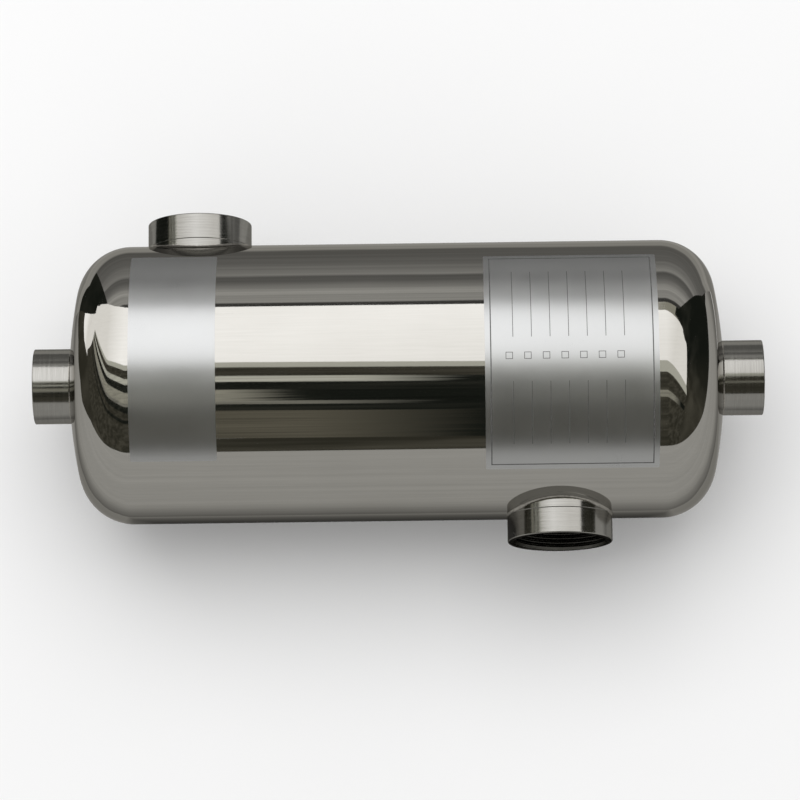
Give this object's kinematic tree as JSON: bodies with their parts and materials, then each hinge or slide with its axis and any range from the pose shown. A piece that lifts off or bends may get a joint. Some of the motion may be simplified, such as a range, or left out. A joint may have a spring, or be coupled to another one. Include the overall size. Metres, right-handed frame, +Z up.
{
  "type": "shell and tube heat exchanger",
  "caption": "Polished stainless shell and tube heat exchanger: a cylinder with dished ends, wide threaded sockets on its sides for pool water and narrow ones on its ends for heating water.",
  "frame": {"origin": "on the floor line of the lying shell, under the middle of the whole length", "axes": "+X along the shell towards its right end, +Y the way the left pool socket points, +Z up"},
  "size_m": [0.374, 0.169, 0.1431],
  "materials": {
    "polished_steel": "mirror polished",
    "socket_steel": "turned",
    "weld_steel": "dressed weld",
    "tube_steel": "drawn",
    "plate_steel": "mill",
    "label_foil": "satin foil"
  },
  "bodies": {
    "root": {"shell": "polished_steel", "left_head": "polished_steel", "right_head": "polished_steel", "left_pool_socket": "socket_steel", "right_pool_socket": "socket_steel", "left_heating_socket": "socket_steel", "right_heating_socket": "socket_steel", "left_pool_weld": "weld_steel", "right_pool_weld": "weld_steel", "left_heating_weld": "weld_steel", "right_heating_weld": "weld_steel", "tube_row_1": "tube_steel", "tube_row_2": "tube_steel", "tube_row_3": "tube_steel", "tube_row_4": "tube_steel", "tube_row_5": "tube_steel", "tube_row_6": "tube_steel", "tube_row_7": "tube_steel", "left_tube_sheet": "plate_steel", "right_tube_sheet": "plate_steel", "baffle_1": "plate_steel", "baffle_2": "plate_steel", "baffle_3": "plate_steel", "baffle_4": "plate_steel", "left_label": "label_foil", "right_label": "label_foil"}
  },
  "joints": []
}
